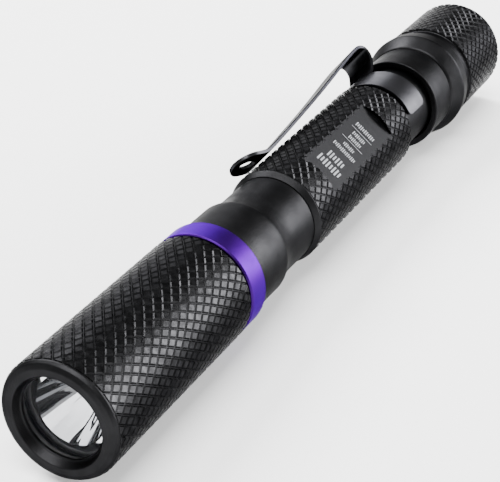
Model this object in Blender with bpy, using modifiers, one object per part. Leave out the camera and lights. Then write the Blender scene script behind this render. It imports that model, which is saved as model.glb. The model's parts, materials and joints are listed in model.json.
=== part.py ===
"""A slim two-cell ultraviolet pen torch, lying on its side, in metres with +Z up.

The long axis runs along +Y, front face at -Y. Every turned piece is drawn as a profile of
(radius, station) points in millimetres, where a station is the distance behind the front face.
The clip stands on the torch's local +X side and the milled flat faces its local +Y side.
"""

import math

import bmesh
import bpy
from mathutils import Matrix, Vector

MM = 0.001

# Driving dimensions, in millimetres.
LENGTH = 139.0
HEAD_R = 8.25
HEAD_END = 35.0
RING_FRONT, RING_REAR = 35.28, 39.38
NECK_R = 7.53
NECK_WAIST_R = 6.85
NECK_SHOULDER = 47.8
NECK_WAIST = 51.8
TUBE_FRONT = 58.1
TUBE_R = 7.53
GROOVE_FRONT, GROOVE_REAR = 95.7, 106.7
GROOVE_R = 6.5
COLLAR_R = 7.88
COLLAR_REAR = 113.7
CAP_FRONT = 114.05
LIP_R = 9.2
LIP_STATION = 117.2
CAP_GROOVE = 119.6
CAP_KNURL_R = 8.75
CAP_KNURL_FRONT = 120.6
CELL_R = 5.15
CELL_LENGTH = 43.7
CELL_NUB = 0.8
BORE_R = 5.5
BEZEL_MOUTH_R = 6.27
BEZEL_LIP_R = 5.62
HEAD_BORE_R = 6.95
FLAT_FRONT, FLAT_REAR = 65.3, 88.3
FLAT_HEIGHT = 6.6
CLIP_WIDTH = 6.1
CLIP_SHEET = 0.46
CLIP_BAND_FRONT, CLIP_BAND_REAR = 97.0, 103.4
CLIP_BAND_R = 6.8
CLIP_WRAP_DEG = 116.0
CLIP_LEAN_DEG = 50.5
CLIP_PIVOT = (10.0, 108.0)
BUTTON_R = 4.5
AXIS_SIDE = 0.88
GAP = 0.3

OUTER_STEPS = 40
INNER_STEPS = 28

BLACK = (0.012, 0.012, 0.013)
MATERIALS = {
    "black_anodise": (BLACK, 0.45, 0.9),
    "violet_anodise": ((0.13, 0.06, 0.55), 0.3, 0.9),
    "spring_steel": ((0.02, 0.02, 0.022), 0.2, 0.9),
    "mirror": ((0.85, 0.86, 0.88), 0.05, 1.0),
    "lens_glass": ((0.9, 0.92, 0.95), 0.02, 0.0),
    "rubber": ((0.015, 0.015, 0.015), 0.7, 0.0),
    "brass": ((0.6, 0.42, 0.16), 0.3, 1.0),
    "board": ((0.02, 0.12, 0.05), 0.5, 0.0),
    "board_white": ((0.8, 0.8, 0.78), 0.5, 0.0),
    "chip_black": ((0.02, 0.02, 0.02), 0.4, 0.0),
    "ferrite": ((0.06, 0.06, 0.065), 0.6, 0.0),
    "ceramic": ((0.85, 0.83, 0.75), 0.4, 0.0),
    "silicone": ((0.85, 0.86, 0.88), 0.1, 0.0),
    "contact_steel": ((0.6, 0.58, 0.52), 0.25, 1.0),
    "cell_wrap": ((0.35, 0.36, 0.38), 0.35, 0.3),
    "switch_plastic": ((0.03, 0.03, 0.035), 0.5, 0.0),
}


def clear_scene():
    for old in list(bpy.data.objects):
        bpy.data.objects.remove(old, do_unlink=True)


def new_collection(name, hidden=False):
    made = bpy.data.collections.new(name)
    made.hide_render = hidden
    bpy.context.scene.collection.children.link(made)
    return made


clear_scene()
PARTS = new_collection("uv_pen_torch")
CUTTERS = new_collection("cutters", hidden=True)


def make_axis():
    """The empty at the front face's centre: local +Z runs to the tail, local +X towards the clip."""
    lean = math.radians(CLIP_LEAN_DEG)
    clip_way = Vector((-math.sin(lean), 0, math.cos(lean)))
    tail_way = Vector((0, 1, 0))
    flat_way = tail_way.cross(clip_way)
    turn = Matrix((clip_way, flat_way, tail_way)).transposed().to_4x4()
    place = Matrix.Translation((AXIS_SIDE * MM, -LENGTH / 2 * MM, LIP_R * MM))
    axis = bpy.data.objects.new("torch_axis", None)
    axis.matrix_world = place @ turn
    PARTS.objects.link(axis)
    return axis


AXIS = make_axis()


def material(name):
    found = bpy.data.materials.get(name)
    if found:
        return found
    colour, roughness, metallic = MATERIALS[name]
    made = bpy.data.materials.new(name)
    made.use_nodes = True
    shader = made.node_tree.nodes["Principled BSDF"]
    shader.inputs["Base Color"].default_value = (*colour, 1)
    shader.inputs["Roughness"].default_value = roughness
    shader.inputs["Metallic"].default_value = metallic
    return made


def add_object(name, data, finish=None):
    """Puts a mesh or curve on the torch axis, as a part if it has a finish and as a cutter if not."""
    made = bpy.data.objects.new(name, data)
    made.parent = AXIS
    if finish:
        data.materials.append(material(finish))
        PARTS.objects.link(made)
    else:
        made.hide_render = True
        made.display_type = "WIRE"
        CUTTERS.objects.link(made)
    return made


def clockwise(points, ring):
    """The profile in the order that a Screw turns into a surface facing out."""
    loop = points if ring else [(0, points[0][1]), *points, (0, points[-1][1])]
    area = sum(a[0] * b[1] - b[0] * a[1] for a, b in zip(loop, loop[1:] + loop[:1]))
    return points if area < 0 else points[::-1]


def turned(name, profile, finish=None, ring=True, steps=OUTER_STEPS):
    """A profile of (radius, station) points turned about the torch axis. A ring's profile closes."""
    points = clockwise([(r * MM, z * MM) for r, z in profile], ring)
    count = len(points)
    edges = [(i, (i + 1) % count) for i in range(count if ring else count - 1)]
    mesh = bpy.data.meshes.new(name)
    mesh.from_pydata([(r, 0, z) for r, z in points], edges, [])
    made = add_object(name, mesh, finish)
    screw = made.modifiers.new("turn", "SCREW")
    screw.steps = screw.render_steps = steps
    screw.use_merge_vertices = True
    screw.merge_threshold = 1e-6
    screw.use_smooth_shade = True
    return made


def block(name, centre, size, finish=None):
    """A box, in millimetres: centre and full size."""
    mesh = bpy.data.meshes.new(name)
    form = bmesh.new()
    bmesh.ops.create_cube(form, size=1)
    bmesh.ops.scale(form, verts=form.verts, vec=[side * MM for side in size])
    form.to_mesh(mesh)
    form.free()
    made = add_object(name, mesh, finish)
    made.location = [value * MM for value in centre]
    return made


def disc_profile(radius, front, rear):
    return [(0, front), (radius, front), (radius, rear), (0, rear)]


def tube_profile(inner, outer, front, rear):
    return [(outer, front), (outer, rear), (inner, rear), (inner, front)]


def bead_profile(centre_r, wire_r, station, sides=10):
    """An O-ring's round section."""
    turns = [math.tau * i / sides for i in range(sides)]
    return [(centre_r + wire_r * math.cos(t), station + wire_r * math.sin(t)) for t in turns]


def boolean(target, cutter, operation="DIFFERENCE"):
    cut = target.modifiers.new(cutter.name, "BOOLEAN")
    cut.operation = operation
    cut.object = cutter
    return target


def smoothed(points, per_span=4):
    """Catmull-Rom points through a short list of (a, b) points, ends included."""
    padded = [points[0], *points, points[-1]]
    found = []
    for p0, p1, p2, p3 in zip(padded, padded[1:], padded[2:], padded[3:]):
        for step in range(per_span):
            t = step / per_span
            found.append(tuple(
                0.5 * (2 * b + (c - a) * t + (2 * a - 5 * b + 4 * c - d) * t**2
                       + (3 * b - a - 3 * c + d) * t**3)
                for a, b, c, d in zip(p0, p1, p2, p3)
            ))
    return found + [points[-1]]


def sheet_outline(centreline, thickness):
    """The closed outline of a bent sheet seen edge on, from the line through its middle."""
    sides = ([], [])
    last = len(centreline) - 1
    for i, point in enumerate(centreline):
        before, after = centreline[max(i - 1, 0)], centreline[min(i + 1, last)]
        way = Vector((after[0] - before[0], after[1] - before[1])).normalized()
        for side, sign in zip(sides, (1, -1)):
            side.append((point[0] - sign * way.y * thickness / 2,
                         point[1] + sign * way.x * thickness / 2))
    return sides[0] + sides[1][::-1]


def strip(name, centreline, width, thickness, finish=None, pivot=(0, 0)):
    """A bent sheet-metal strip: (radius, station) centreline, as wide as `width` along local Y."""
    outline = sheet_outline(centreline, thickness)
    curve = bpy.data.curves.new(name, "CURVE")
    curve.dimensions = "2D"
    curve.fill_mode = "BOTH"
    curve.extrude = width / 2 * MM
    line = curve.splines.new("POLY")
    line.points.add(len(outline) - 1)
    line.use_cyclic_u = True
    for point, (radius, station) in zip(line.points, outline):
        point.co = ((radius - pivot[0]) * MM, (station - pivot[1]) * MM, 0, 1)
    flat = bpy.data.objects.new(name + "_outline", curve)
    CUTTERS.objects.link(flat)
    bpy.context.view_layer.update()
    graph = bpy.context.evaluated_depsgraph_get()
    mesh = bpy.data.meshes.new_from_object(flat.evaluated_get(graph))
    bpy.data.objects.remove(flat, do_unlink=True)
    mesh.transform(Matrix.Rotation(math.pi / 2, 4, "X"))
    form = bmesh.new()
    form.from_mesh(mesh)
    bmesh.ops.remove_doubles(form, verts=form.verts, dist=1e-6)
    bmesh.ops.recalc_face_normals(form, faces=form.faces)
    form.to_mesh(mesh)
    form.free()
    mesh.materials.clear()
    made = add_object(name, mesh, finish)
    made.location = (pivot[0] * MM, 0, pivot[1] * MM)
    return made


def coil(name, front, rear, radius_front, radius_rear, wire, turns, finish):
    """A helical spring between two stations, as a round wire with filled ends."""
    curve = bpy.data.curves.new(name, "CURVE")
    curve.dimensions = "3D"
    curve.bevel_depth = wire / 2 * MM
    curve.bevel_resolution = 1
    curve.use_fill_caps = True
    line = curve.splines.new("POLY")
    count = int(turns * 14)
    line.points.add(count)
    for i, point in enumerate(line.points):
        share = i / count
        angle = math.tau * turns * share
        radius = radius_front + (radius_rear - radius_front) * share
        station = front + wire / 2 + (rear - front - wire) * share
        point.co = (radius * math.cos(angle) * MM, radius * math.sin(angle) * MM, station * MM, 1)
    return add_object(name, curve, finish)


# ---- head ----

LENS_FRONT, LENS_REAR, LENS_R = 1.85, 2.95, 5.95
REFLECTOR_RIM = 3.1
MIRROR_R = 4.83
MIRROR_FOCAL = 0.75
MIRROR_BASE_R = 1.9
BOARD_FRONT = 11.5
PILL_FRONT = 13.2
DRIVER_FRONT = 20.0


def make_head_shell():
    outer = [(7.26, 0), (7.7, 0.1), (8.02, 0.4), (8.15, 0.8), (HEAD_R, 1.0),
             (HEAD_R, HEAD_END - 0.3), (HEAD_R - 0.3, HEAD_END)]
    inner = [(HEAD_BORE_R, HEAD_END), (HEAD_BORE_R, 1.65), (BEZEL_LIP_R, 1.65),
             (BEZEL_LIP_R, 1.15), (5.78, 1.05), (BEZEL_MOUTH_R, 0)]
    return turned("head_shell", outer + inner, "black_anodise")


def make_lens():
    lens = [(0, LENS_FRONT), (LENS_R - 0.15, LENS_FRONT), (LENS_R, LENS_FRONT + 0.15),
            (LENS_R, LENS_REAR), (0, LENS_REAR)]
    turned("lens", lens, "lens_glass", ring=False, steps=INNER_STEPS)
    turned("lens_o_ring", bead_profile(6.48, 0.36, 2.38), "rubber", steps=INNER_STEPS)


def mirror_profile(count=9):
    """The parabola (radius, station), from the open rim in to the hole for the light source."""
    vertex = REFLECTOR_RIM + MIRROR_R**2 / (4 * MIRROR_FOCAL)
    radii = [MIRROR_R + (MIRROR_BASE_R - MIRROR_R) * i / (count - 1) for i in range(count)]
    return [(r, vertex - r**2 / (4 * MIRROR_FOCAL)) for r in radii]


def make_reflector():
    bowl = mirror_profile()
    base = bowl[-1][1] + 0.5
    outer = [(MIRROR_BASE_R, base), (3.3, base), (5.0, base - 3.2), (5.9, 4.2),
             (6.6, 4.2), (6.6, REFLECTOR_RIM), (5.35, REFLECTOR_RIM)]
    turned("reflector", bowl + outer, "mirror", steps=INNER_STEPS)


def make_emitter():
    package = block("led_package", (0, 0, BOARD_FRONT - 0.45), (3.4, 3.4, 0.6), "ceramic")
    rise = [(1.25 * math.sin(math.radians(a)), BOARD_FRONT - 0.85 - 1.25 * math.cos(math.radians(a)))
            for a in (0, 22, 45, 68, 90)]
    turned("led_dome", rise + [(0, BOARD_FRONT - 0.85)], "silicone", ring=False, steps=16)
    board = turned("led_board", disc_profile(6.5, BOARD_FRONT, BOARD_FRONT + 1.5), "board_white",
                   ring=False, steps=INNER_STEPS)
    for side in (-1, 1):
        notch = block(f"led_board_notch_{side + 1}", (0, side * 6.0, BOARD_FRONT + 0.75), (2.2, 2.4, 4))
        boolean(board, notch)
    return package


def make_pill():
    cup = [(6.6, PILL_FRONT), (6.6, 22.4), (5.7, 22.4), (5.7, PILL_FRONT + 2.2),
           (1.4, PILL_FRONT + 2.2), (1.4, PILL_FRONT)]
    turned("led_pill", cup, "brass", steps=INNER_STEPS)
    turned("driver_board", disc_profile(5.4, DRIVER_FRONT, DRIVER_FRONT + 1.1), "board", ring=False,
           steps=INNER_STEPS)
    block("driver_inductor", (1.9, 1.2, DRIVER_FRONT - 1.35), (3.2, 3.2, 2.2), "ferrite")
    block("driver_chip", (-2.1, -1.0, DRIVER_FRONT - 0.75), (2.9, 1.7, 1.1), "chip_black")
    coil("front_contact_spring", DRIVER_FRONT + 1.3, 26.6, 3.6, 1.9, 0.5, 4, "contact_steel")


# ---- accent ring, neck and tube ----

def make_accent_ring():
    ring = [(7.95, RING_FRONT), (8.18, RING_FRONT + 0.2), (8.18, RING_REAR - 0.2),
            (7.95, RING_REAR), (7.0, RING_REAR), (7.0, RING_FRONT)]
    turned("accent_ring", ring, "violet_anodise")


def shoulder_profile(count=5):
    """The S-curve from the neck's full radius down to its waist."""
    found = []
    for i in range(count + 1):
        share = i / count
        ease = (1 - math.cos(math.pi * share)) / 2
        found.append((NECK_R + (NECK_WAIST_R - NECK_R) * ease,
                      NECK_SHOULDER + (NECK_WAIST - NECK_SHOULDER) * share))
    return found


def make_neck():
    outer = [(6.55, 25.2), (6.55, 33.0), (6.1, 33.0), (6.1, 34.6), (6.6, 34.6), (6.6, RING_REAR + 0.15),
             (NECK_R, RING_REAR + 0.15), *shoulder_profile(), (NECK_WAIST_R, TUBE_FRONT - 0.15),
             (6.15, TUBE_FRONT - 0.15), (6.15, 63.0)]
    inner = [(BORE_R, 63.0), (BORE_R, 25.2)]
    turned("neck", outer + inner, "black_anodise")
    turned("neck_o_ring", bead_profile(6.52, 0.36, 33.8), "rubber", steps=INNER_STEPS)


def make_body_tube():
    outer = [(6.95, TUBE_FRONT), (TUBE_R, TUBE_FRONT + 1.0), (TUBE_R, GROOVE_FRONT),
             (GROOVE_R, GROOVE_FRONT), (GROOVE_R, 112.4), (6.6, 112.4), (6.6, 118.4)]
    inner = [(BORE_R, 118.4), (BORE_R, 63.3), (6.4, 63.3), (6.4, TUBE_FRONT)]
    tube = turned("body_tube", outer + inner, "black_anodise")
    length = FLAT_REAR - FLAT_FRONT
    depth = 3.0
    flat = block("label_flat_cutter", (0, FLAT_HEIGHT + depth / 2, FLAT_FRONT + length / 2),
                 (14, depth, length))
    return boolean(tube, flat)


def make_rear_collar():
    collar = [(7.7, GROOVE_REAR), (COLLAR_R, GROOVE_REAR + 0.2), (COLLAR_R, COLLAR_REAR - 0.2),
              (7.7, COLLAR_REAR), (6.9, COLLAR_REAR), (6.9, 112.1), (6.8, 112.1), (6.8, GROOVE_REAR)]
    turned("rear_collar", collar, "black_anodise")
    turned("tail_o_ring", bead_profile(6.86, 0.2, 116.4, sides=8), "rubber", steps=INNER_STEPS)


def make_cell(name, front):
    """One AAA cell: the raised positive contact faces the front."""
    can = front + CELL_NUB
    profile = [(0, front), (1.9, front), (1.9, can), (CELL_R - 0.4, can), (CELL_R, can + 0.4),
               (CELL_R, can + CELL_LENGTH - 0.3), (CELL_R - 0.3, can + CELL_LENGTH),
               (0, can + CELL_LENGTH)]
    turned(name, profile, "cell_wrap", ring=False, steps=INNER_STEPS)


# ---- clip ----

CLIP_BEND = [(7.03, 103.1), (7.25, 104.9), (8.1, 106.5), (8.95, 107.5), (9.8, 107.98)]
CLIP_ARM = [(10.15, 108.0), (10.8, 107.85), (11.35, 106.9), (11.47, 105.3), (11.2, 101.7),
            (9.8, 88.9), (8.71, 76.6), (8.2, 70.0), (8.0, 66.4), (8.3, 64.6), (9.0, 62.6), (9.85, 60.6)]


def make_clip():
    outer = CLIP_BAND_R + CLIP_SHEET
    band = turned("clip_band", tube_profile(CLIP_BAND_R, outer, CLIP_BAND_FRONT, CLIP_BAND_REAR),
                  "spring_steel")
    opening = 2 * (180 - CLIP_WRAP_DEG)
    wedge_mesh = bpy.data.meshes.new("clip_opening_cutter")
    form = bmesh.new()
    reach = 14 * MM
    middle = (CLIP_BAND_FRONT + CLIP_BAND_REAR) / 2 * MM
    half = 6 * MM
    spread = [math.radians(180 - opening / 2 + opening * i / 4) for i in range(5)]
    floor = [form.verts.new((0, 0, middle - half))]
    floor += [form.verts.new((reach * math.cos(a), reach * math.sin(a), middle - half)) for a in spread]
    face = form.faces.new(floor)
    raised = bmesh.ops.extrude_face_region(form, geom=[face])
    lift = [item for item in raised["geom"] if isinstance(item, bmesh.types.BMVert)]
    bmesh.ops.translate(form, verts=lift, vec=(0, 0, 2 * half))
    bmesh.ops.recalc_face_normals(form, faces=form.faces)
    form.to_mesh(wedge_mesh)
    form.free()
    wedge = add_object("clip_opening_cutter", wedge_mesh)
    boolean(band, wedge)
    tab = strip("clip_tab_joiner", smoothed(CLIP_BEND), CLIP_WIDTH, CLIP_SHEET)
    boolean(band, tab, "UNION")
    strip("clip_arm", smoothed(CLIP_ARM, 3), CLIP_WIDTH, CLIP_SHEET, "spring_steel", pivot=CLIP_PIVOT)


# ---- tail ----

def make_tail_cap():
    outer = [(7.5, CAP_FRONT), (7.95, CAP_FRONT + 0.2), (9.0, 116.4), (LIP_R, LIP_STATION),
             (9.05, CAP_GROOVE - 0.3), (8.5, CAP_GROOVE), (8.5, CAP_KNURL_FRONT - 0.3),
             (CAP_KNURL_R, CAP_KNURL_FRONT), (CAP_KNURL_R, 137.6), (8.5, 138.5), (8.0, LENGTH)]
    inner = [(BUTTON_R + GAP, LENGTH), (BUTTON_R + GAP, 137.2), (6.4, 137.2), (6.4, 122.0),
             (7.2, 122.0), (7.2, CAP_FRONT)]
    turned("tail_cap", outer + inner, "black_anodise")


def make_tail_contact():
    turned("tail_contact_washer", tube_profile(1.6, 5.2, 120.3, 120.9), "contact_steel",
           steps=INNER_STEPS)
    coil("tail_spring", 116.4, 120.0, 2.2, 3.9, 0.6, 3, "contact_steel")


def make_switch():
    housing = [(6.1, 122.3), (6.1, 132.4), (3.1, 132.4), (3.1, 124.8), (0, 124.8)]
    turned("switch_housing", [(0, 122.3), *housing], "switch_plastic", ring=False, steps=INNER_STEPS)
    turned("switch_retaining_ring", tube_profile(5.2, 6.1, 132.7, 134.4), "brass", steps=INNER_STEPS)
    turned("switch_plunger", disc_profile(2.8, 127.0, 133.9), "chip_black", ring=False,
           steps=INNER_STEPS)
    dome = [(0, 134.2), (4.9, 134.2), (4.9, 135.4), (BUTTON_R, 135.4), (BUTTON_R, 137.9)]
    dome += [(BUTTON_R * math.cos(math.radians(a)), 137.9 + 0.8 * math.sin(math.radians(a)))
             for a in (25, 50, 75)]
    turned("rubber_button", dome + [(0, 138.7)], "rubber", ring=False, steps=INNER_STEPS)


make_head_shell()
make_lens()
make_reflector()
make_emitter()
make_pill()
make_accent_ring()
make_neck()
make_body_tube()
make_rear_collar()
make_cell("front_cell", 26.9)
make_cell("rear_cell", 71.6)
make_clip()
make_tail_cap()
make_tail_contact()
make_switch()
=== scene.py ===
import json
import math

import bmesh
import bpy
from mathutils import Matrix, Vector

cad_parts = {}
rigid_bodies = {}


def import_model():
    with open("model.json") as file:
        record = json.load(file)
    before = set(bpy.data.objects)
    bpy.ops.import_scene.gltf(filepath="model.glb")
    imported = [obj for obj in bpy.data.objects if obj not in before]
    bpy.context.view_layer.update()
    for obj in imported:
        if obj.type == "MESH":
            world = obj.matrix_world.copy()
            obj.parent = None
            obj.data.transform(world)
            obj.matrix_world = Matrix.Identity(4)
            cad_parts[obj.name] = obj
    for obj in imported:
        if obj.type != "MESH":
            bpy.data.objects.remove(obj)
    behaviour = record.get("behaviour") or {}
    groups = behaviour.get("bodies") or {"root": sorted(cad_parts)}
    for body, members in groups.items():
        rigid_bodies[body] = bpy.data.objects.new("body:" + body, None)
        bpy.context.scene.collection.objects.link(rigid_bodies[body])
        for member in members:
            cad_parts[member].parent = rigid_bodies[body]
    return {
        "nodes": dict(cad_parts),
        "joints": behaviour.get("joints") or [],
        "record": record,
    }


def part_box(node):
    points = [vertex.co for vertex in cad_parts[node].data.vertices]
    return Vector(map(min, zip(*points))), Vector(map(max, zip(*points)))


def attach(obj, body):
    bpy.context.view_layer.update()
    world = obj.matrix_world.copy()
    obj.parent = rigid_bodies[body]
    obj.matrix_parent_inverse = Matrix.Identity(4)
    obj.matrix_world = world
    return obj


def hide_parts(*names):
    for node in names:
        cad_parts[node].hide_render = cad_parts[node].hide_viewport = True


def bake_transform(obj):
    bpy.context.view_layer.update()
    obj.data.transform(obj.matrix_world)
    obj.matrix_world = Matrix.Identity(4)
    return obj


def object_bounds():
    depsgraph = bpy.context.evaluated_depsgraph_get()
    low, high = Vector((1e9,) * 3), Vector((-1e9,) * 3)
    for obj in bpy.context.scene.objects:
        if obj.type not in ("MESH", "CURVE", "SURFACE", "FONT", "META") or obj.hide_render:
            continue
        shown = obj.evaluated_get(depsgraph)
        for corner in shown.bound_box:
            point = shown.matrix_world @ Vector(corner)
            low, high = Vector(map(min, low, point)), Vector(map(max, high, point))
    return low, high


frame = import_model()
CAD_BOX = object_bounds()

bl_info = {
    "name": "Ultraviolet pen torch",
    "version": (1, 0, 0),
    "blender": (4, 5, 0),
    "location": "View3D > Sidebar > Pen torch",
    "description": "Builds the detailed pieces, finishes and studio of a knurled pen torch",
    "category": "Object",
}

MM = 0.001
TURN_STEPS = 144  # sides of a turned piece
NOISE_LOW, NOISE_HIGH = 0.35, 0.65  # the noise values at which a ramp starts and ends

# Knurling, in millimetres apart from the shares
LAND_SHARE, BREAK_SHARE = 0.64, 0.04  # of a diamond: its flat top, and the broken edge round it
CREST_BREAK = 0.03  # how far that edge drops below the flat top
SLEEVE_WALL = 0.35  # under the grooves
CORE_SHARE = 0.85  # the core lies this share of the groove depth below the crests


# ---- the torch's own axes, from the frame ----

def joint_named(name):
    return next(joint for joint in frame["joints"] if joint["name"] == name)


def torch_matrix():
    """From (towards clip, towards flat, towards tail) in millimetres to the frame's metres."""
    flat_way = -Vector(joint_named("clip_flex")["axis"])
    tail_way = Vector((0, 1, 0))
    clip_way = flat_way.cross(tail_way)
    turn = Matrix((clip_way, flat_way, tail_way)).transposed().to_4x4()
    middle = Vector(joint_named("clip_swivel")["pos_m"])
    middle.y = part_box("head_shell")[0].y
    return Matrix.Translation(middle) @ turn @ Matrix.Scale(MM, 4)


TORCH = torch_matrix()
TO_TORCH = TORCH.inverted()


def measure(node):
    """(front station, rear station, largest radius) of a CAD node, in millimetres."""
    points = [TO_TORCH @ vert.co for vert in frame["nodes"][node].data.vertices]
    stations = [point.z for point in points]
    return min(stations), max(stations), max(math.hypot(point.x, point.y) for point in points)


_, HEAD_REAR, HEAD_R = measure("head_shell")
RING_FRONT, RING_REAR, RING_R = measure("accent_ring")
NECK_FRONT, NECK_REAR, NECK_R = measure("neck")
TUBE_FRONT, TUBE_REAR, TUBE_R = measure("body_tube")
COLLAR_FRONT, COLLAR_REAR, COLLAR_R = measure("rear_collar")
CAP_FRONT, CAP_REAR, LIP_R = measure("tail_cap")
BAND_FRONT, _, _ = measure("clip_band")
LENS_FRONT, LENS_REAR, LENS_R = measure("lens")
GLASS_SEAL_FRONT, GLASS_SEAL_REAR, GLASS_SEAL_R = measure("lens_o_ring")
BOWL_FRONT, BOWL_REAR, BOWL_R = measure("reflector")
BUTTON_FRONT, BUTTON_REAR, BUTTON_FLANGE_R = measure("rubber_button")


# ---- settings a user would change ----

def length(name, words, default):
    """A size in metres, given here in millimetres."""
    return bpy.props.FloatProperty(name=name, description=words, default=default * MM,
                                   precision=5, subtype="DISTANCE", unit="LENGTH")


def linear(hex_colour):
    """An sRGB hex colour as linear red, green and blue."""
    parts = [int(hex_colour[i:i + 2], 16) / 255 for i in (1, 3, 5)]
    return tuple(c / 12.92 if c <= 0.04045 else ((c + 0.055) / 1.055) ** 2.4 for c in parts)


def colour(name, words, hex_colour):
    return bpy.props.FloatVectorProperty(name=name, description=words, subtype="COLOR", size=3,
                                         min=0, max=1, default=linear(hex_colour))


class TorchSizes(bpy.types.PropertyGroup):
    """Sizes of the surface detail."""
    knurl_pitch: length("Knurl pitch", "Length of one diamond along the torch", 2.3)
    knurl_width: length("Knurl width", "Width of one diamond around the head", 1.5)
    knurl_depth: length("Knurl depth", "Depth of the grooves", 0.21)
    sheet: length("Clip sheet", "Thickness of the clip's spring steel", 0.54)
    clip_width: length("Clip width", "Width of the clip's arm", 6.1)
    edge: length("Edge rounding", "Radius of the turned pieces' broken edges", 0.12)


class TorchColours(bpy.types.PropertyGroup):
    """Colours of the visible finishes."""
    black: colour("Black anodise", "Dyed black aluminium", "#1D1D1E")
    violet: colour("Violet anodise", "Dyed violet aluminium ring", "#2E0D52")
    steel: colour("Black steel", "Black-plated spring steel", "#2C2C2E")
    ink: colour("Label ink", "Pale print on the flat", "#77797D")
    floor: colour("Floor", "Studio floor", "#F4F4F4")


# ---- materials ----

def add_node(tree, kind, settings=None, links=None):
    """Adds a node; settings go to its properties or inputs, links to (node, output) pairs."""
    node = tree.nodes.new(kind)
    for key, value in (settings or {}).items():
        if isinstance(key, str) and hasattr(node, key):
            setattr(node, key, value)
        else:
            node.inputs[key].default_value = value
    for key, (source, output) in (links or {}).items():
        tree.links.new(source.outputs[output], node.inputs[key])
    return node


def new_material(name, base, roughness, metallic=0.0, **more):
    """A Principled material and its tree, shader and object coordinates."""
    made = bpy.data.materials.new(name)
    made.use_nodes = True
    tree = made.node_tree
    shader = tree.nodes["Principled BSDF"]
    shader.inputs["Base Color"].default_value = (*base, 1)
    shader.inputs["Roughness"].default_value = roughness
    shader.inputs["Metallic"].default_value = metallic
    for key, value in more.items():
        shader.inputs[key.replace("_", " ")].default_value = value
    made.diffuse_color = (*base, 1)
    place = add_node(tree, "ShaderNodeTexCoord")
    return made, tree, shader, place


def per_metre(spacing_mm):
    """The scale of a texture whose features are that many millimetres apart."""
    return 1 / (spacing_mm * MM)


def grain(tree, shader, place, spacing_mm, height_mm, detail=3.0):
    """Fine bumps, as a bead-blasted or moulded surface has."""
    noise = add_node(tree, "ShaderNodeTexNoise", {"Scale": per_metre(spacing_mm), "Detail": detail},
                     {"Vector": (place, "Object")})
    bump = add_node(tree, "ShaderNodeBump", {"Strength": 1.0, "Distance": height_mm * MM},
                    {"Height": (noise, "Fac")})
    tree.links.new(bump.outputs["Normal"], shader.inputs["Normal"])
    return noise


def vary(tree, shader, socket, place, spacing_mm, low, high):
    """Lets a value or colour wander between two limits over patches of that size."""
    noise = add_node(tree, "ShaderNodeTexNoise", {"Scale": per_metre(spacing_mm), "Detail": 2.0},
                     {"Vector": (place, "Object")})
    if isinstance(low, tuple):
        ramp = add_node(tree, "ShaderNodeValToRGB", links={"Fac": (noise, "Fac")})
        ends = ramp.color_ramp.elements
        ends[0].position, ends[1].position = NOISE_LOW, NOISE_HIGH
        ends[0].color, ends[1].color = (*low, 1), (*high, 1)
        tree.links.new(ramp.outputs["Color"], shader.inputs[socket])
    else:
        ramp = add_node(tree, "ShaderNodeMapRange", {"From Min": NOISE_LOW, "From Max": NOISE_HIGH,
                        "To Min": low, "To Max": high}, {"Value": (noise, "Fac")})
        tree.links.new(ramp.outputs["Result"], shader.inputs[socket])


def shade_of(base, factor):
    return tuple(min(1.0, c * factor) for c in base)


EDGE_TINT = (0.45, 0.45, 0.45)  # keeps what grazes the black metals dark


def bead_blasted_black_anodise(colours):
    """Aluminium blasted with fine beads, then dyed black: a soft satin sheen with a faint grain."""
    base = tuple(colours.black)
    made, tree, shader, place = new_material("bead_blasted_black_anodise", base, 0.4, 1.0,
                                             Specular_Tint=(*EDGE_TINT, 1))
    grain(tree, shader, place, 0.16, 0.026)
    vary(tree, shader, "Roughness", place, 4.0, 0.37, 0.45)
    vary(tree, shader, "Base Color", place, 2.5, shade_of(base, 0.88), shade_of(base, 1.12))
    return made


def knurled_black_anodise(colours):
    """The same dye over knurling: glossier than the blasted parts, uneven from diamond to diamond."""
    base = tuple(colours.black)
    made, tree, shader, place = new_material("knurled_black_anodise", base, 0.3, 1.0,
                                             Specular_Tint=(*EDGE_TINT, 1))
    grain(tree, shader, place, 0.18, 0.010)
    vary(tree, shader, "Roughness", place, 0.9, 0.24, 0.38)
    vary(tree, shader, "Base Color", place, 1.3, shade_of(base, 0.85), shade_of(base, 1.3))
    return made


def satin_violet_anodise(colours):
    """Turned aluminium dyed violet: a deep colour that lights up only in its sheen, and tool lines."""
    base = tuple(colours.violet)
    made, tree, shader, place = new_material("satin_violet_anodise", base, 0.42, 1.0,
                                             Specular_Tint=(0.5, 0.35, 0.9, 1))
    lines = add_node(tree, "ShaderNodeTexWave", {"bands_direction": "Y", "Scale": per_metre(1.2),
                     "Distortion": 0.4, "Detail": 2.0}, {"Vector": (place, "Object")})
    bump = add_node(tree, "ShaderNodeBump", {"Strength": 0.5, "Distance": 0.002 * MM},
                    {"Height": (lines, "Fac")})
    tree.links.new(bump.outputs["Normal"], shader.inputs["Normal"])
    vary(tree, shader, "Roughness", place, 3.0, 0.38, 0.46)
    return made


def black_plated_spring_steel(colours):
    """Spring steel under satin black plating: a dark face, slightly wavy, that stays dark edge-on."""
    base = tuple(colours.steel)
    made, tree, shader, place = new_material("black_plated_spring_steel", base, 0.34, 1.0,
                                             Specular_Tint=(0.14, 0.14, 0.14, 1))
    grain(tree, shader, place, 1.5, 0.012, 1.0)
    vary(tree, shader, "Roughness", place, 2.0, 0.3, 0.38)
    return made


def rolled_black_spring_steel(colours):
    """The clip's plating as its wrap shows it: paler than the arm, with a broad soft sheen."""
    base = tuple(colours.steel)
    made, tree, shader, place = new_material("rolled_black_spring_steel", base, 0.36, 1.0,
                                             Specular_Tint=(0.62, 0.62, 0.64, 1))
    grain(tree, shader, place, 0.8, 0.006, 1.0)
    vary(tree, shader, "Roughness", place, 2.0, 0.33, 0.4)
    return made


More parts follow.
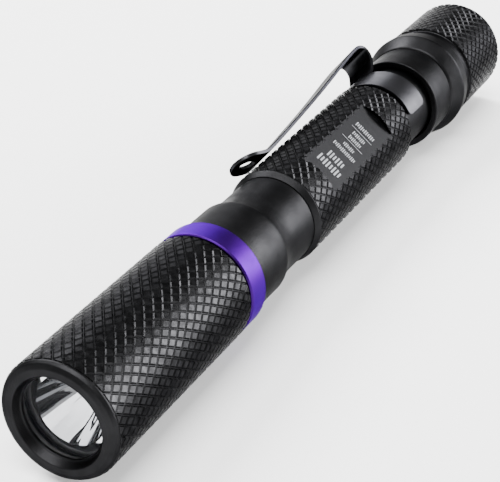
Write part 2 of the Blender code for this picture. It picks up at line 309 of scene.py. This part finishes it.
def vacuum_metallised_reflector(colours):
    """Aluminium evaporated on a moulded bowl: a clear mirror with broad waves that run inwards."""
    made, tree, shader, place = new_material("vacuum_metallised_reflector", linear("#E6E7E9"),
                                             0.0, 1.0)
    middle = TORCH @ Vector((0, 0, 0))
    shift = add_node(tree, "ShaderNodeMapping", {"Location": (-middle.x, 0, -middle.z)},
                     {"Vector": (place, "Object")})
    split = add_node(tree, "ShaderNodeSeparateXYZ", links={"Vector": (shift, "Vector")})
    angle = add_node(tree, "ShaderNodeMath", {"operation": "ARCTAN2"},
                     {0: (split, "X"), 1: (split, "Z")})
    lines = add_node(tree, "ShaderNodeTexNoise", {"noise_dimensions": "1D", "Scale": 1.3,
                     "Detail": 1.0}, {"W": (angle, "Value")})
    bump = add_node(tree, "ShaderNodeBump", {"Strength": 1.0, "Distance": 0.4 * MM},
                    {"Height": (lines, "Fac")})
    tree.links.new(bump.outputs["Normal"], shader.inputs["Normal"])
    return made


def polished_lens_glass(colours):
    """Flat coated glass: drawn as a film that light crosses unbent, with a trace of reflection."""
    made, tree, shader, place = new_material("polished_lens_glass", linear("#3A3C40"), 0.03,
                                             Alpha=0.06)
    vary(tree, shader, "Roughness", place, 4.0, 0.02, 0.05)
    return made


def moulded_rubber(colours):
    """Pressed nitrile rubber: matte black with a soft mottled skin."""
    made, tree, shader, place = new_material("moulded_rubber", linear("#1C1C1D"), 0.65)
    grain(tree, shader, place, 0.3, 0.02)
    vary(tree, shader, "Roughness", place, 1.0, 0.58, 0.72)
    return made


def printed_label_ink(colours):
    """Pale ink on the milled flat: a thin matte layer that lets a little grain through."""
    made, tree, shader, place = new_material("printed_label_ink", tuple(colours.ink), 0.55)
    grain(tree, shader, place, 0.15, 0.006)
    vary(tree, shader, "Base Color", place, 0.35, shade_of(colours.ink, 0.8), tuple(colours.ink))
    return made


def milled_flat_anodise(colours):
    """The flat cut by an end mill before dyeing: paler and finer than the blasted tube."""
    base = shade_of(colours.black, 1.6)
    made, tree, shader, place = new_material("milled_flat_anodise", base, 0.42, 1.0,
                                             Specular_Tint=(*EDGE_TINT, 1))
    grain(tree, shader, place, 0.16, 0.008)
    vary(tree, shader, "Roughness", place, 1.5, 0.38, 0.48)
    return made


HIDDEN_FINISHES = {
    # slot: (name, colour, roughness, metallic, grain spacing, grain height), for the inner pieces
    "ceramic": ("fired_alumina_ceramic", "#EDE6D2", 0.5, 0.0, 0.2, 0.004),
    "silicone": ("cast_clear_silicone", "#F2F4F6", 0.08, 0.0, 2.0, 0.002),
    "board_white": ("white_masked_aluminium_board", "#E4E4DE", 0.45, 0.0, 0.5, 0.004),
    "brass": ("turned_brass", "#C9A04E", 0.28, 1.0, 0.4, 0.004),
    "board": ("green_masked_glass_epoxy", "#1E6B3A", 0.4, 0.0, 0.35, 0.004),
    "ferrite": ("sintered_ferrite", "#3C3B3D", 0.6, 0.0, 0.15, 0.008),
    "chip_black": ("moulded_epoxy", "#1A1A1B", 0.5, 0.0, 0.15, 0.005),
    "contact_steel": ("nickel_plated_spring_wire", "#C9C4B8", 0.22, 1.0, 0.3, 0.002),
    "cell_wrap": ("shrink_wrapped_cell_jacket", "#7F8388", 0.35, 0.6, 3.0, 0.01),
    "switch_plastic": ("moulded_acetal", "#232325", 0.45, 0.0, 0.4, 0.006),
    "rubber": ("pressed_nitrile_seal", "#1A1A1A", 0.6, 0.0, 0.3, 0.01),
}


def hidden_finish(slot):
    name, hex_colour, roughness, metallic, spacing, height = HIDDEN_FINISHES[slot]
    base = linear(hex_colour)
    made, tree, shader, place = new_material(name, base, roughness, metallic)
    grain(tree, shader, place, spacing, height)
    vary(tree, shader, "Base Color", place, spacing * 6, shade_of(base, 0.85), shade_of(base, 1.1))
    return made


def finish(maker):
    """The material that a function makes, made once."""
    found = bpy.data.materials.get(maker.__name__)
    return found or maker(bpy.context.scene.torch_colours)


# ---- mesh helpers, in torch millimetres ----

def add_piece(name, verts, faces, maker, sharp_deg=32.0):
    """A mesh object from points in torch millimetres, placed in the frame and shaded smooth."""
    mesh = bpy.data.meshes.new(name)
    mesh.from_pydata([TORCH @ Vector(vert) for vert in verts], [], faces)
    form = bmesh.new()
    form.from_mesh(mesh)
    bmesh.ops.recalc_face_normals(form, faces=form.faces)
    form.to_mesh(mesh)
    form.free()
    mesh.shade_smooth()
    mesh.set_sharp_from_angle(angle=math.radians(sharp_deg))
    mesh.materials.append(finish(maker))
    piece = bpy.data.objects.new(name, mesh)
    bpy.context.scene.collection.objects.link(piece)
    return piece


def softened(profile, radius, ring=True, pieces=3):
    """The profile with each corner of two long sides turned into a small arc.

    A support point beside each arc keeps its smooth shading off the flat sides.
    """
    most_of_side, least_reach, straight = 0.45, 0.01, math.radians(12)
    most_hold, hold_share = 0.05, 0.04
    count = len(profile)
    found = []
    for i, corner in enumerate(profile):
        if not ring and i in (0, count - 1):
            found.append(corner)
            continue
        here = Vector(corner)
        before, after = Vector(profile[i - 1]) - here, Vector(profile[(i + 1) % count]) - here
        reach = min(radius, before.length * most_of_side, after.length * most_of_side)
        bend = math.pi - before.angle(after)
        if reach < least_reach or bend < straight:
            found.append(corner)
            continue
        hold = min(most_hold, hold_share * min(before.length, after.length))
        ways = before.normalized(), after.normalized()
        start, end = here + ways[0] * reach, here + ways[1] * reach
        found.append(tuple(here + ways[0] * (reach + hold)))
        for step in range(pieces + 1):
            t = step / pieces
            found.append(tuple(start * (1 - t) ** 2 + here * 2 * t * (1 - t) + end * t**2))
        found.append(tuple(here + ways[1] * (reach + hold)))
    return found


def turned(profile, ring=True):
    """Points and faces of a (radius, station) profile turned about the torch axis."""
    steps = TURN_STEPS
    verts, faces, rows = [], [], []
    for radius, station in profile:
        if radius < 1e-6:
            rows.append([len(verts)] * steps)
            verts.append((0, 0, station))
            continue
        rows.append(list(range(len(verts), len(verts) + steps)))
        verts += [(radius * math.cos(math.tau * i / steps), radius * math.sin(math.tau * i / steps),
                   station) for i in range(steps)]
    pairs = list(zip(rows, rows[1:] + rows[:1])) if ring else list(zip(rows, rows[1:]))
    for low, high in pairs:
        for i in range(steps):
            j = (i + 1) % steps
            loop = list(dict.fromkeys((low[i], low[j], high[j], high[i])))
            if len(loop) > 2:
                faces.append(loop)
    return verts, faces


def joined(*shapes):
    """Several (points, faces) pairs as one."""
    verts, faces = [], []
    for more_verts, more_faces in shapes:
        start = len(verts)
        verts += more_verts
        faces += [[index + start for index in face] for face in more_faces]
    return verts, faces


def knurl(radius, front, rear, around, pitch, depth):
    """A closed sleeve of diamond knurling: V grooves between flat-topped diamonds."""
    rows = 2 * max(2, round((rear - front) / pitch))
    step, half = (rear - front) / rows, math.pi / around
    inner = radius - depth - SLEEVE_WALL

    def at(i, j, height):
        return (height * math.cos(i * half), height * math.sin(i * half), front + j * step)

    verts, faces, valley = [], [], {}
    for j in range(rows + 1):
        for i in range((j + 1) % 2, 2 * around, 2):
            valley[i, j] = len(verts)
            verts.append(at(i, j, radius - depth))
    for j in range(rows + 1):
        for i in range(j % 2, 2 * around, 2):
            corners = [(i - 1, j), (i, j - 1), (i + 1, j), (i, j + 1)]
            corners = [c for c in corners if 0 <= c[1] <= rows]
            middle_j = sum(c[1] for c in corners) / len(corners)
            ring = [valley[c[0] % (2 * around), c[1]] for c in corners]
            for share, height in ((LAND_SHARE + BREAK_SHARE, radius - CREST_BREAK),
                                  (LAND_SHARE, radius)):
                start = len(verts)
                verts += [at(i + (a - i) * share, middle_j + (b - middle_j) * share, height)
                          for a, b in corners]
                raised = list(range(start, len(verts)))
                for n in range(len(ring)):
                    m = (n + 1) % len(ring)
                    faces.append((ring[n], ring[m], raised[m], raised[n]))
                ring = raised
            faces.append(tuple(ring))
    ends = []
    for j in (0, rows):
        outer = [valley[i, j] for i in range(1, 2 * around, 2)]
        start = len(verts)
        verts += [at(i, j, inner) for i in range(1, 2 * around, 2)]
        ends.append(list(range(start, start + around)))
        for n in range(around):
            m = (n + 1) % around
            faces.append((outer[n], outer[m], ends[-1][m], ends[-1][n]))
    for n in range(around):
        m = (n + 1) % around
        faces.append((ends[0][n], ends[0][m], ends[1][m], ends[1][n]))
    return verts, faces


def knurl_here(radius, front, rear):
    """The torch's knurling for a cylinder of this radius, with a whole number of diamonds."""
    sizes = bpy.context.scene.torch_sizes
    around = round(math.tau * radius / (sizes.knurl_width / MM))
    return knurl(radius, front, rear, around, sizes.knurl_pitch / MM, sizes.knurl_depth / MM)


def core_radius(radius):
    """The radius of the plain core under knurling whose crests are at this radius."""
    return radius - CORE_SHARE * bpy.context.scene.torch_sizes.knurl_depth / MM


def settle(piece, body, slot, *nodes):
    """Says which body a piece rides on and hides the CAD nodes that it stands for; its slot is not
    used.
    """
    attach(piece, body)
    if nodes:
        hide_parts(*nodes)
    return piece


def edge_mm():
    return bpy.context.scene.torch_sizes.edge / MM


# ---- pieces ----

class TORCH_OT_head(bpy.types.Operator):
    """Build the head shell: rounded rim, conical mouth and diamond knurling"""
    bl_idname = "torch.head"
    bl_label = "Head shell"

    def execute(self, context):
        lip_r, mouth_r, bore_r = 5.62, 6.27, 6.95
        root = core_radius(HEAD_R)
        rim = [(7.26, 0), (7.9, 0.32), (HEAD_R - 0.1, 0.8), (HEAD_R - 0.1, 1.0), (root, 1.1)]
        back = [(root, HEAD_REAR - 0.35), (root - 0.3, HEAD_REAR), (bore_r, HEAD_REAR),
                (bore_r, 1.65), (lip_r, 1.65), (lip_r, 1.2), (5.8, 1.05), (mouth_r, 0)]
        core = turned(softened(rim + back, edge_mm()))
        sleeve = knurl_here(HEAD_R, 1.0, HEAD_REAR - 0.3)
        piece = add_piece("knurled_head_shell", *joined(core, sleeve), knurled_black_anodise)
        piece.data.materials.append(finish(bead_blasted_black_anodise))
        core_faces = len(core[1])
        for face in piece.data.polygons[:core_faces]:
            face.material_index = 1
        settle(piece, "torch", "black_anodise", "head_shell")
        return {"FINISHED"}


class TORCH_OT_optics(bpy.types.Operator):
    """Build the lens, its seal and the deep mirror bowl"""
    bl_idname = "torch.optics"
    bl_label = "Lens and reflector"

    def execute(self, context):
        glass = softened([(0, LENS_FRONT), (LENS_R, LENS_FRONT), (LENS_R, LENS_REAR),
                          (0, LENS_REAR)], 0.15, ring=False)
        settle(add_piece("front_lens", *turned(glass, ring=False), polished_lens_glass),
               "torch", "lens_glass", "lens")
        middle = (GLASS_SEAL_FRONT + GLASS_SEAL_REAR) / 2
        wire = (GLASS_SEAL_REAR - GLASS_SEAL_FRONT) / 2
        bead = [(GLASS_SEAL_R - wire + wire * math.cos(a), middle + wire * math.sin(a))
                for a in (math.tau * i / 20 for i in range(20))]
        settle(add_piece("lens_seal", *turned(bead), moulded_rubber), "torch", "rubber",
               "lens_o_ring")
        self.bowl()
        return {"FINISHED"}

    def bowl(self):
        """A parabola from its rim to the hole for the light source, with a flanged back."""
        rim_r, base_r, focal, count = 4.83, 1.9, 0.75, 40
        vertex = BOWL_FRONT + rim_r**2 / (4 * focal)
        radii = [rim_r + (base_r - rim_r) * i / (count - 1) for i in range(count)]
        curve = [(r, vertex - r**2 / (4 * focal)) for r in radii]
        back = [(base_r, BOWL_REAR), (3.3, BOWL_REAR), (5.0, BOWL_REAR - 3.2),
                (5.9, BOWL_FRONT + 1.1), (BOWL_R, BOWL_FRONT + 1.1), (BOWL_R, BOWL_FRONT),
                (5.35, BOWL_FRONT), (rim_r + 0.08, BOWL_FRONT)]
        piece = add_piece("mirror_bowl", *turned(curve + back), vacuum_metallised_reflector)
        settle(piece, "torch", "mirror", "reflector")


class TORCH_OT_ring(bpy.types.Operator):
    """Build the violet accent ring with its chamfered edges"""
    bl_idname = "torch.ring"
    bl_label = "Accent ring"

    def execute(self, context):
        chamfer = 0.22
        outer = [(RING_R - chamfer, RING_FRONT), (RING_R, RING_FRONT + chamfer),
                 (RING_R, RING_REAR - chamfer), (RING_R - chamfer, RING_REAR)]
        inner = [(7.0, RING_REAR), (7.0, RING_FRONT)]
        shape = turned(softened(outer + inner, 0.08))
        settle(add_piece("violet_ring", *shape, satin_violet_anodise), "torch", "violet_anodise",
               "accent_ring")
        return {"FINISHED"}


class TORCH_OT_neck(bpy.types.Operator):
    """Build the smooth neck with its S-curve down to the waist"""
    bl_idname = "torch.neck"
    bl_label = "Neck"

    def execute(self, context):
        waist_r, shoulder, waist = 6.85, 47.5, 51.9
        start, bore_r, root_r = RING_REAR + 0.15, 5.5, 6.6
        curve = []
        for i in range(17):
            share = i / 16
            ease = 1 - (1 - share) ** 1.9
            curve.append((NECK_R + (waist_r - NECK_R) * ease, shoulder + (waist - shoulder) * share))
        outer = softened([(6.0, start), (NECK_R, start), (NECK_R, shoulder - 0.5)], 0.15, ring=False)
        outer += curve + [(waist_r, TUBE_FRONT - 0.15), (6.15, TUBE_FRONT - 0.15), (6.15, NECK_REAR)]
        inner = [(bore_r, NECK_REAR), (bore_r, NECK_FRONT), (6.55, NECK_FRONT), (6.55, 33.0),
                 (6.1, 33.0), (6.1, 34.6), (root_r, 34.6), (root_r, start - 0.1), (6.0, start - 0.1)]
        settle(add_piece("turned_neck", *turned(outer + inner), bead_blasted_black_anodise),
               "torch", "black_anodise", "neck")
        return {"FINISHED"}


def cut_by(piece, cutter):
    """Takes the cutter out of the piece and removes the cutter."""
    step = piece.modifiers.new("cut", "BOOLEAN")
    step.operation = "DIFFERENCE"
    step.solver = "EXACT"
    step.object = cutter
    bpy.context.view_layer.update()
    graph = bpy.context.evaluated_depsgraph_get()
    mesh = bpy.data.meshes.new_from_object(piece.evaluated_get(graph))
    piece.modifiers.clear()
    old = piece.data
    piece.data = mesh
    bpy.data.meshes.remove(old)
    bpy.data.objects.remove(cutter, do_unlink=True)


def box_shape(low, high):
    """Points and faces of a box between two corners, in torch millimetres."""
    verts = [(x, y, z) for x in (low[0], high[0]) for y in (low[1], high[1])
             for z in (low[2], high[2])]
    faces = [(0, 1, 3, 2), (4, 6, 7, 5), (0, 4, 5, 1), (2, 3, 7, 6), (0, 2, 6, 4), (1, 5, 7, 3)]
    return verts, faces


FLAT_FRONT, FLAT_REAR, FLAT_HEIGHT = 65.3, 88.3, 6.6


class TORCH_OT_tube(bpy.types.Operator):
    """Build the knurled battery tube, its milled flat and the groove for the clip"""
    bl_idname = "torch.tube"
    bl_label = "Battery tube"

    def execute(self, context):
        groove_front, groove_r, bore_r = 95.7, 6.5, 5.5
        knurl_front, under, overlap = 59.25, 0.04, 0.03
        root = core_radius(TUBE_R)
        outer = [(6.95, TUBE_FRONT), (TUBE_R - under, TUBE_FRONT + 1.0), (TUBE_R - under, knurl_front),
                 (root, knurl_front + 0.1), (root, groove_front - 0.2), (root - 0.2, groove_front),
                 (groove_r, groove_front), (groove_r, 112.4), (6.6, 112.4), (6.6, TUBE_REAR)]
        inner = [(bore_r, TUBE_REAR), (bore_r, 63.3), (6.4, 63.3), (6.4, TUBE_FRONT)]
        core = add_piece("knurled_battery_tube", *turned(softened(outer + inner, 0.05)),
                         bead_blasted_black_anodise)
        sleeve = add_piece("tube_knurl", *knurl_here(TUBE_R, knurl_front, groove_front - 0.1),
                           knurled_black_anodise)
        for piece in (core, sleeve):
            piece.data.materials.append(finish(milled_flat_anodise))
            floor = FLAT_HEIGHT - (overlap if piece is core else 0.0)
            cutter = add_piece("flat_cutter", *box_shape((-9, floor, FLAT_FRONT),
                               (9, 12, FLAT_REAR)), milled_flat_anodise)
            cut_by(piece, cutter)
            self.mark_flat(piece)
        settle(core, "torch", "black_anodise", "body_tube")
        settle(sleeve, "torch", "black_anodise")
        return {"FINISHED"}

    def mark_flat(self, piece):
        """Gives the milled floor its own finish."""
        piece.data.shade_smooth()
        piece.data.set_sharp_from_angle(angle=math.radians(24))
        flat_way = (TORCH.to_3x3() @ Vector((0, 1, 0))).normalized()
        for face in piece.data.polygons:
            centre = TO_TORCH @ face.center
            level = face.normal.dot(flat_way) > 0.999 and abs(centre.y - FLAT_HEIGHT) < 0.05
            if level and FLAT_FRONT < centre.z < FLAT_REAR:
                face.material_index = 1
                face.use_smooth = False


class TORCH_OT_label(bpy.types.Operator):
    """Lay generic printed dashes on the milled flat"""
    bl_idname = "torch.label"
    bl_label = "Flat marking"

    rows = (  # station of the row's middle, its height and its half width
        (69.2, 1.8, 2.4), (71.65, 1.7, 1.8), (74.85, 1.0, 2.3), (76.55, 1.0, 1.1), (78.0, 0.12, 2.2),
        (79.0, 1.0, 1.3), (80.6, 1.0, 1.3), (81.8, 0.12, 2.2), (83.15, 1.1, 2.0),
    )

    def execute(self, context):
        lift = 0.02
        shapes = []
        for station, height, half in self.rows:
            stroke = 2 * half if height < 0.2 else 0.17 * height
            gap = 0.16 * height
            count = max(1, int((2 * half + gap) / (stroke + gap)))
            start = -(count * stroke + (count - 1) * gap) / 2
            for i in range(count):
                x = start + i * (stroke + gap)
                tall = height * (1.0 if i % 3 else 0.72) / 2
                shapes.append(box_shape((x, FLAT_HEIGHT - 0.05, station - tall),
                                        (x + stroke, FLAT_HEIGHT + lift, station + tall)))
        settle(add_piece("flat_marking", *joined(*shapes), printed_label_ink), "torch",
               "black_anodise")
        return {"FINISHED"}


class TORCH_OT_collar(bpy.types.Operator):
    """Build the smooth collar behind the clip"""
    bl_idname = "torch.collar"
    bl_label = "Rear collar"

    def execute(self, context):
        outer = [(COLLAR_R, COLLAR_FRONT), (COLLAR_R, COLLAR_REAR)]
        inner = [(6.9, COLLAR_REAR), (6.9, 112.1), (6.8, 112.1), (6.8, COLLAR_FRONT)]
        shape = turned(softened(outer + inner, 0.2))
        settle(add_piece("smooth_rear_collar", *shape, bead_blasted_black_anodise), "torch",
               "black_anodise", "rear_collar")
        return {"FINISHED"}


def smoothed(points, per_span):
    """Catmull-Rom points through a short list of (a, b) points, ends included."""
    padded = [points[0], *points, points[-1]]
    found = []
    for p0, p1, p2, p3 in zip(padded, padded[1:], padded[2:], padded[3:]):
        for step in range(per_span):
            t = step / per_span
            found.append(tuple(0.5 * (2 * b + (c - a) * t + (2 * a - 5 * b + 4 * c - d) * t**2
                                      + (3 * b - a - 3 * c + d) * t**3)
                               for a, b, c, d in zip(p0, p1, p2, p3)))
    return found + [points[-1]]


class TORCH_OT_clip(bpy.types.Operator):
    """Build the pocket clip: a C-band and one bent sheet that runs forward to a flared tip"""
    bl_idname = "torch.clip"
    bl_label = "Pocket clip"

    band_r, mid_r, wrap_deg = 6.8, 7.03, 116.0
    # (radius, station) along the middle of the sheet, from the band round the bend to the tip
    route = ((7.03, 101.2), (7.03, 103.1), (7.25, 104.9), (8.1, 106.5), (8.95, 107.5),
             (9.98, 107.98), (10.8, 107.85), (11.35, 106.9), (11.47, 105.3), (11.2, 101.7),
             (9.8, 88.9), (8.71, 76.6), (8.2, 70.0), (8.0, 66.4), (8.3, 64.6), (9.0, 62.6),
             (9.85, 60.6))

    def execute(self, context):
        sizes = context.scene.torch_sizes
        sheet = sizes.sheet / MM
        settle(self.band(sheet), "clip_mount", "spring_steel", "clip_band")
        arm = self.arm(sheet, sizes.clip_width / MM)
        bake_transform(arm)
        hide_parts("clip_arm")
        return {"FINISHED"}

    def band(self, sheet):
        """Part of a ring with rounded corners at its two open ends."""
        steps, corner = 96, 0.9
        inner, outer = self.band_r, self.band_r + sheet
        rear = 103.4
        verts, faces, rows = [], [], []
        wrap = math.radians(self.wrap_deg)
        turns = [0.0, 0.02, 0.06, 0.12, 0.2, 0.35, 0.6, 0.8, 1.0]
        lean_in = [t * corner / outer for t in turns]
        middle = [-wrap + lean_in[-1] + (2 * wrap - 2 * lean_in[-1]) * i / steps
                  for i in range(1, steps)]
        angles = [-wrap + t for t in lean_in] + middle + [wrap - t for t in lean_in[::-1]]
        for angle in angles:
            inset = max(0.0, corner - (wrap - abs(angle)) * outer)
            cut = corner - math.sqrt(max(0.0, corner**2 - inset**2))
            section = softened([(outer, BAND_FRONT + cut), (outer, rear - cut), (inner, rear - cut),
                                (inner, BAND_FRONT + cut)], 0.1, pieces=2)
            rows.append(list(range(len(verts), len(verts) + len(section))))
            verts += [(r * math.cos(angle), r * math.sin(angle), z) for r, z in section]
        for low, high in zip(rows, rows[1:]):
            for i in range(len(low)):
                j = (i + 1) % len(low)
                faces.append((low[i], low[j], high[j], high[i]))
        faces += [tuple(rows[0]), tuple(rows[-1])]
        return add_piece("clip_c_band", verts, faces, rolled_black_spring_steel)

    def arm(self, sheet, width):
        """The sheet swept along its route; it leaves the band curved and soon lies flat."""
        flat_after, least_half = 5.0, 0.3
        line = smoothed(self.route, 6)
        reach, total = [0.0], 0.0
        for a, b in zip(line, line[1:]):
            total += math.dist(a, b)
            reach.append(total)
        half = width / 2
        verts, faces, rows = [], [], []
        for i, (radius, station) in enumerate(line):
            before, after = line[max(i - 1, 0)], line[min(i + 1, len(line) - 1)]
            way = Vector((after[0] - before[0], after[1] - before[1])).normalized()
            out = Vector((-way.y, way.x))
            left = total - reach[i]
            span = half if left >= half else math.sqrt(max(0.0, half**2 - (half - left) ** 2))
            hollow = max(0.0, 1 - reach[i] / flat_after)
            section = self.section(max(span, least_half), sheet / 2)
            rows.append(list(range(len(verts), len(verts) + len(section))))
            for side, lift in section:
                drop = hollow * (self.mid_r - math.sqrt(self.mid_r**2 - side**2))
                verts.append((radius + out.x * lift - drop, side, station + out.y * lift))
        for low, high in zip(rows, rows[1:]):
            for i in range(len(low)):
                j = (i + 1) % len(low)
                faces.append((low[i], low[j], high[j], high[i]))
        faces += [tuple(rows[0]), tuple(rows[-1])]
        piece = add_piece("clip_arm_sheet", verts, faces, black_plated_spring_steel)
        hole_station, half_length, half_width, sides = 63.1, 1.5, 1.0, 24
        turns = [math.tau * i / sides for i in range(sides)]
        hole = [(half_length * math.cos(turn), half_width * math.sin(turn)) for turn in turns]
        low, high = 7.0, 12.0
        verts = [(level, y, hole_station + x) for level in (low, high) for x, y in hole]
        count = len(hole)
        faces = [tuple(range(count)), tuple(range(count, 2 * count))]
        faces += [(i, (i + 1) % count, count + (i + 1) % count, count + i) for i in range(count)]
        cut_by(piece, add_piece("slot_cutter", verts, faces, black_plated_spring_steel))
        piece.data.shade_smooth()
        piece.data.set_sharp_from_angle(angle=math.radians(32))
        return piece

    def section(self, span, thick):
        """(side, height) round the sheet's edge, with broken corners and both faces divided."""
        across, soft = 12, 0.12
        top = [(-span + soft + 2 * (span - soft) * i / across, thick) for i in range(across + 1)]
        right = [(span - soft / 3, thick - soft / 3), (span, thick - soft)]
        half = top + right
        return half + [(-side, -lift) for side, lift in half]


class TORCH_OT_tail_cap(bpy.types.Operator):
    """Build the tail cap: conical front, lip, shallow groove and knurled grip"""
    bl_idname = "torch.tail_cap"
    bl_label = "Tail cap"

    def execute(self, context):
        grip_r = 8.75
        root = core_radius(grip_r)
        outer = [(7.5, CAP_FRONT), (7.95, CAP_FRONT + 0.2), (9.0, 116.4), (LIP_R, 116.9),
                 (8.95, 119.5), (8.25, 119.8), (8.25, 122.2), (root, 122.45), (root, 137.3),
                 (8.35, 138.3), (8.0, CAP_REAR)]
        inner = [(4.8, CAP_REAR), (4.8, 137.2), (6.4, 137.2), (6.4, 122.0), (7.2, 122.0),
                 (7.2, CAP_FRONT)]
        core = turned(softened(outer + inner, 0.25))
        sleeve = knurl_here(grip_r, 122.3, 137.5)
        piece = add_piece("knurled_tail_cap", *joined(core, sleeve), knurled_black_anodise)
        piece.data.materials.append(finish(bead_blasted_black_anodise))
        for face in piece.data.polygons[:len(core[1])]:
            face.material_index = 1
        settle(piece, "tail", "black_anodise", "tail_cap")
        return {"FINISHED"}


class TORCH_OT_button(bpy.types.Operator):
    """Build the domed rubber button with its raised rings"""
    bl_idname = "torch.button"
    bl_label = "Rubber button"

    def execute(self, context):
        stem_r, shoulder, crown, steps = 4.5, 137.75, BUTTON_REAR, 40
        ripple_r, ripple_pitch, ripple_height, flat_crown = 3.6, 1.1, 0.1, 0.12
        dome = [(0, BUTTON_FRONT), (BUTTON_FLANGE_R, BUTTON_FRONT), (BUTTON_FLANGE_R, 135.4),
                (stem_r, 135.4), (stem_r, shoulder)]
        for i in range(1, steps):
            radius = stem_r * math.cos(math.pi / 2 * i / steps)
            rise = (crown - shoulder - flat_crown) * math.sin(math.pi / 2 * i / steps)
            wave = max(0.0, math.cos(math.tau * radius / ripple_pitch))
            ripple = ripple_height * wave if radius < ripple_r else 0.0
            dome.append((radius, shoulder + rise + ripple))
        dome.append((0, crown))
        settle(add_piece("domed_rubber_button", *turned(dome, ring=False), moulded_rubber, 50.0),
               "button", "rubber", "rubber_button")
        return {"FINISHED"}


class TORCH_OT_inner(bpy.types.Operator):
    """Give the pieces inside the torch their finishes"""
    bl_idname = "torch.inner"
    bl_label = "Inner pieces"

    def execute(self, context):
        slots = {part["node"]: part["material_slot"] for part in frame["record"]["subparts"]}
        made = {}
        for name, node in frame["nodes"].items():
            slot = slots[name]
            if node.hide_render or slot not in HIDDEN_FINISHES:
                continue
            if slot not in made:
                made[slot] = hidden_finish(slot)
            node.data.materials.clear()
            node.data.materials.append(made[slot])
        return {"FINISHED"}


# ---- studio ----

def softbox(name, place, way, width, height, watts):
    """A large area light at a place, in metres, that shines along a way."""
    lamp = bpy.data.lights.new(name, "AREA")
    lamp.shape = "RECTANGLE"
    lamp.size, lamp.size_y = width, height
    lamp.energy = watts
    box = bpy.data.objects.new(name, lamp)
    box.location = place
    box.rotation_mode = "QUATERNION"
    box.rotation_quaternion = Vector(way).to_track_quat("-Z", "Z")
    bpy.context.scene.collection.objects.link(box)
    return box


class TORCH_OT_stage(bpy.types.Operator):
    """Lay the pale floor, hang the soft lights and place the camera"""
    bl_idname = "torch.stage"
    bl_label = "Studio"

    aim_station, distance = 50.8, 0.2144
    azimuth_deg, elevation_deg = 26.49, 28.08
    lens_mm = 107.4

    def execute(self, context):
        self.floor(context.scene.torch_colours)
        self.lights()
        self.camera()
        return {"FINISHED"}

    def floor(self, colours):
        side = 6.0
        mesh = bpy.data.meshes.new("studio_floor")
        corners = [(-side, -side, 0), (side, -side, 0), (side, side, 0), (-side, side, 0)]
        mesh.from_pydata(corners, [], [(0, 1, 2, 3)])
        base = tuple(colours.floor)
        made, tree, shader, place = new_material("matte_painted_floor", base, 0.9)
        grain(tree, shader, place, 3.0, 0.01)
        mesh.materials.append(made)
        floor = bpy.data.objects.new("studio_floor", mesh)
        floor.location.z = CAD_BOX[0].z
        bpy.context.scene.collection.objects.link(floor)

    def lights(self):
        """A strong panel behind on the right, weak ones on the left, and a wide one overhead."""
        air_strength = 0.7
        softbox("right_panel", (0.66, 0.62, 0.22), (-0.3, -1, 0), 0.60, 0.50, 34)
        softbox("left_panel", (-0.48, 0.62, 0.25), (0.25, -1, -0.1), 0.62, 0.50, 6)
        softbox("upper_left_panel", (-0.53, 0.29, 0.54), (0.53, -0.29, -0.54), 0.36, 0.36, 16)
        softbox("overhead_panel", (0.0, -0.45, 1.3), (0, 0.2, -1), 1.0, 0.8, 44)
        world = bpy.data.worlds.new("studio_air")
        world.use_nodes = True
        air = world.node_tree.nodes["Background"]
        air.inputs["Color"].default_value = (1, 1, 1, 1)
        air.inputs["Strength"].default_value = air_strength
        bpy.context.scene.world = world

    def camera(self):
        azimuth, elevation = math.radians(self.azimuth_deg), math.radians(self.elevation_deg)
        back = Vector((math.sin(azimuth) * math.cos(elevation),
                       -math.cos(azimuth) * math.cos(elevation), math.sin(elevation)))
        eye = bpy.data.cameras.new("studio_camera")
        eye.lens, eye.sensor_width = self.lens_mm, 36.0
        eye.clip_start, eye.clip_end = 0.01, 20.0
        camera = bpy.data.objects.new("studio_camera", eye)
        camera.location = TORCH @ Vector((0, 0, self.aim_station)) + back * self.distance
        camera.rotation_mode = "QUATERNION"
        camera.rotation_quaternion = (-back).to_track_quat("-Z", "Y")
        bpy.context.scene.collection.objects.link(camera)
        bpy.context.scene.camera = camera


STEPS = (TORCH_OT_head, TORCH_OT_optics, TORCH_OT_ring, TORCH_OT_neck, TORCH_OT_tube,
         TORCH_OT_label, TORCH_OT_collar, TORCH_OT_clip, TORCH_OT_tail_cap, TORCH_OT_button,
         TORCH_OT_inner, TORCH_OT_stage)


class VIEW3D_PT_torch(bpy.types.Panel):
    """The torch's sizes, colours and building steps"""
    bl_idname = "VIEW3D_PT_torch"
    bl_label = "Pen torch"
    bl_space_type = "VIEW_3D"
    bl_region_type = "UI"
    bl_category = "Pen torch"

    def draw(self, context):
        column = self.layout.column()
        for group in (context.scene.torch_sizes, context.scene.torch_colours):
            for name in group.__annotations__:
                column.prop(group, name)
        for step in STEPS:
            column.operator(step.bl_idname)


CLASSES = (TorchSizes, TorchColours, *STEPS, VIEW3D_PT_torch)


def register():
    for cls in CLASSES:
        bpy.utils.register_class(cls)
    bpy.types.Scene.torch_sizes = bpy.props.PointerProperty(type=TorchSizes)
    bpy.types.Scene.torch_colours = bpy.props.PointerProperty(type=TorchColours)


def unregister():
    del bpy.types.Scene.torch_colours
    del bpy.types.Scene.torch_sizes
    for cls in reversed(CLASSES):
        bpy.utils.unregister_class(cls)


def main():
    for old in [o for o in bpy.data.objects if o.name in ("Cube", "Light", "Camera")]:
        bpy.data.objects.remove(old, do_unlink=True)
    register()
    for step in STEPS:
        group, name = step.bl_idname.split(".")
        getattr(getattr(bpy.ops, group), name)()


if __name__ == "__main__":
    main()
